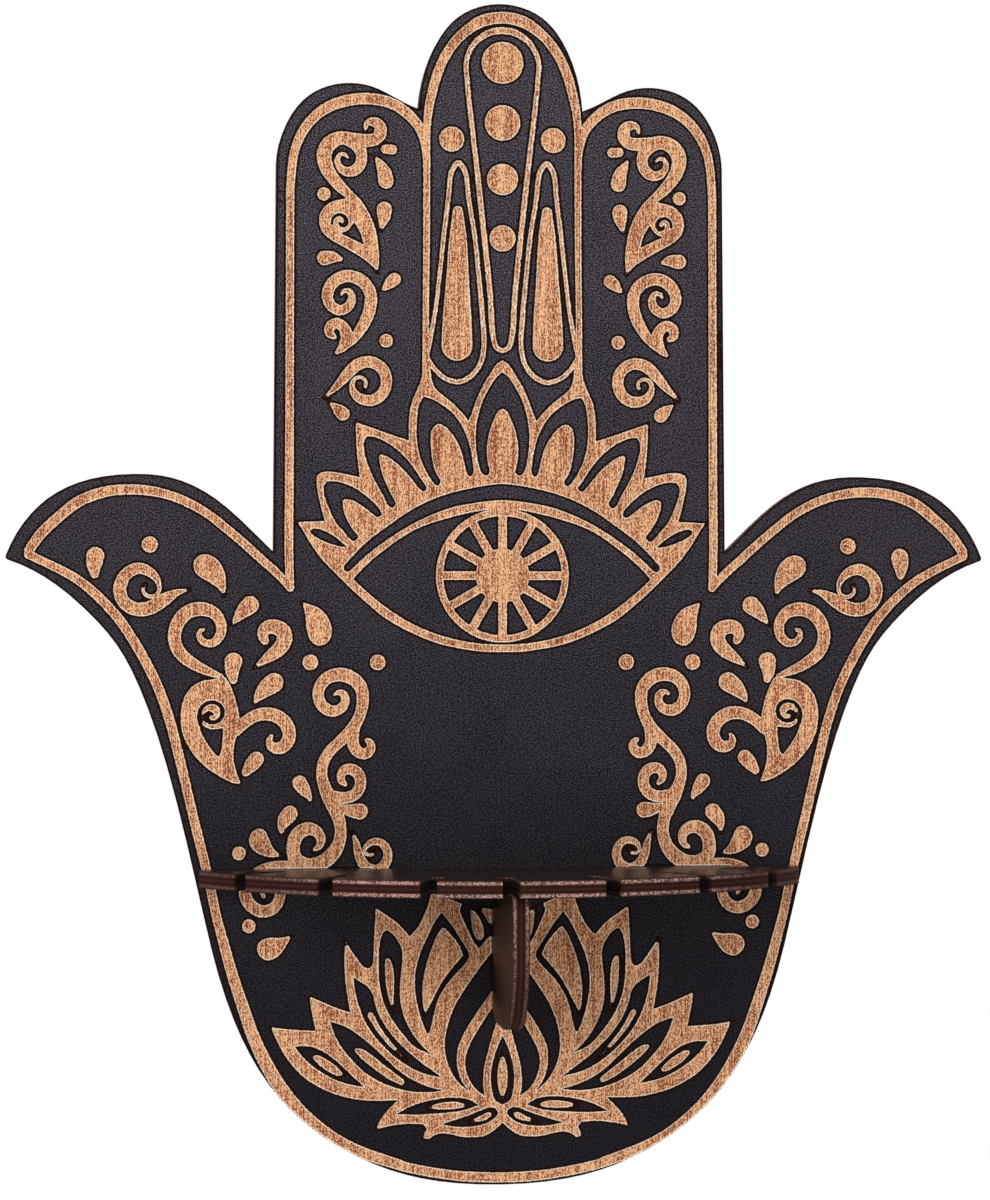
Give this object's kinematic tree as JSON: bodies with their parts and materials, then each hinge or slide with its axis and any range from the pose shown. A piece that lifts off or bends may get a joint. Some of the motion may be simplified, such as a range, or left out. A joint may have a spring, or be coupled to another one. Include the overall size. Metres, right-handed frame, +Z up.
{
  "type": "hamsa hand wall shelf",
  "caption": "Hand-shaped wall ornament of engraved black plywood with a small half-moon shelf, notched along its front edge for hanging pendulums, and a bracket below.",
  "frame": {"origin": "on the wall plane, at the middle of the hanger's raised face, on the hand's centre line", "axes": "+Z up, -Y the way the engraved front looks, +X to the right of someone facing the front"},
  "size_m": [0.2496, 0.0543, 0.3],
  "materials": {
    "board_ply": "matte black paint with engraved bare wood, burnt edges",
    "shelf_ply": "satin black faces, burnt ply edges",
    "bracket_ply": "satin dark brown faces, burnt ply edges",
    "hanger_steel": "brass-plated steel strip",
    "screw_steel": "brass-plated steel"
  },
  "bodies": {
    "root": {"back_board": "board_ply", "shelf": "shelf_ply", "bracket": "bracket_ply", "sawtooth_hanger": "hanger_steel", "hanger_screw_left": "screw_steel", "hanger_screw_right": "screw_steel"}
  },
  "joints": []
}
